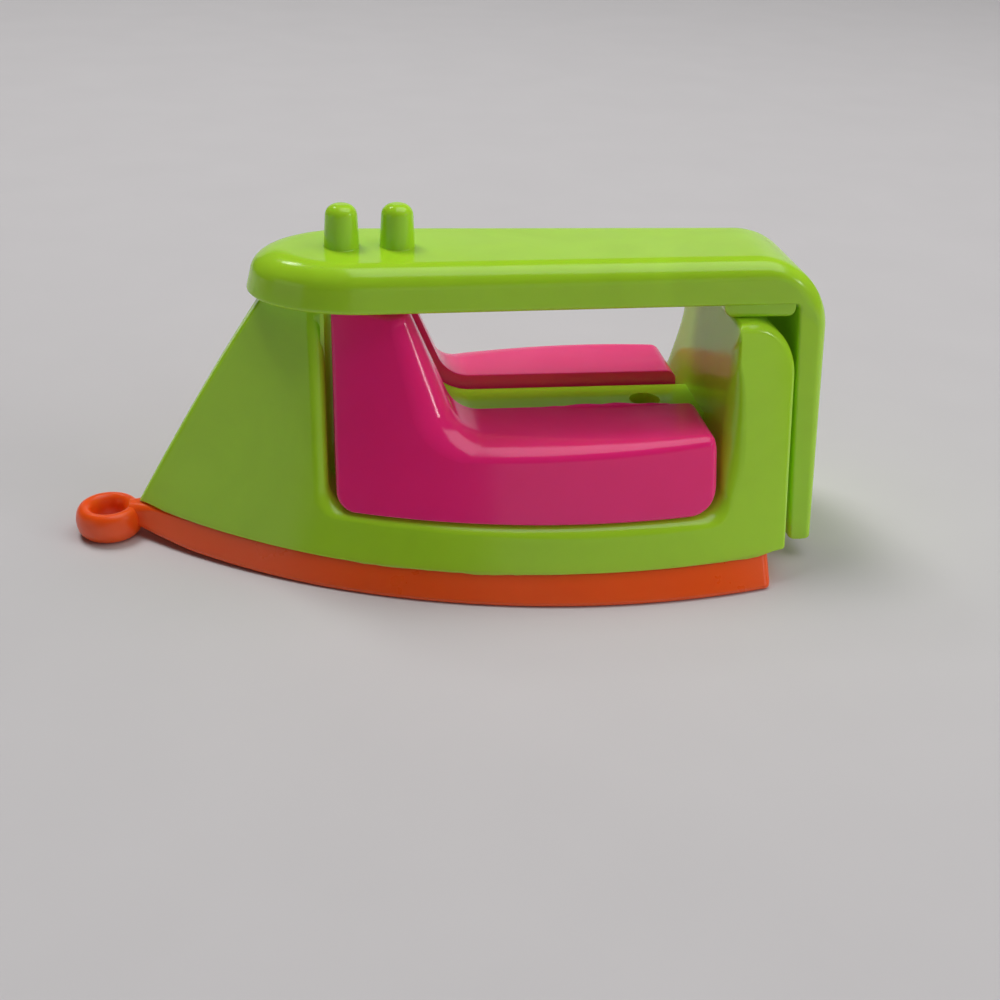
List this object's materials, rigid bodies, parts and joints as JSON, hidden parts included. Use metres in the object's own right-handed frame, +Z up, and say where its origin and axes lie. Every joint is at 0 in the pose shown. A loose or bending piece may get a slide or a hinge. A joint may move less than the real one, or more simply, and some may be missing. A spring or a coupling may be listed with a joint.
{
  "type": "toy iron",
  "caption": "Small toy iron charm that pulls apart by hand: boat-shaped body, sole plate with key-ring eyelet, two side panels and a bridging handle with a heel plate.",
  "frame": {"origin": "middle of the overall box, on the plane that the sole stands on", "axes": "-X towards the tip and its eyelet, +X towards the heel, -Y to the iron's left, +Z up through the handle"},
  "size_m": [0.06, 0.0298, 0.0278],
  "materials": {
    "lime_plastic": "glossy moulded neon lime polystyrene",
    "orange_plastic": "glossy moulded neon orange polystyrene",
    "pink_plastic": "glossy moulded hot pink polystyrene"
  },
  "bodies": {
    "body": {"body": "lime_plastic"},
    "sole_plate": {"sole_plate": "orange_plastic", "eyelet": "orange_plastic"},
    "left_panel": {"left_panel": "pink_plastic"},
    "right_panel": {"right_panel": "pink_plastic"},
    "handle": {"handle": "lime_plastic"}
  },
  "joints": [
    {"name": "handle_lift", "type": "slide", "parent": "body", "child": "handle", "axis": [0, 0, 1], "range_m": [0, 0.022]},
    {"name": "left_panel_pull", "type": "slide", "parent": "body", "child": "left_panel", "axis": [0, -1, 0], "range_m": [0, 0.014]},
    {"name": "right_panel_pull", "type": "slide", "parent": "body", "child": "right_panel", "axis": [0, 1, 0], "range_m": [0, 0.014]},
    {"name": "sole_drop", "type": "slide", "parent": "body", "child": "sole_plate", "axis": [0, 0, -1], "range_m": [0, 0.009]}
  ]
}
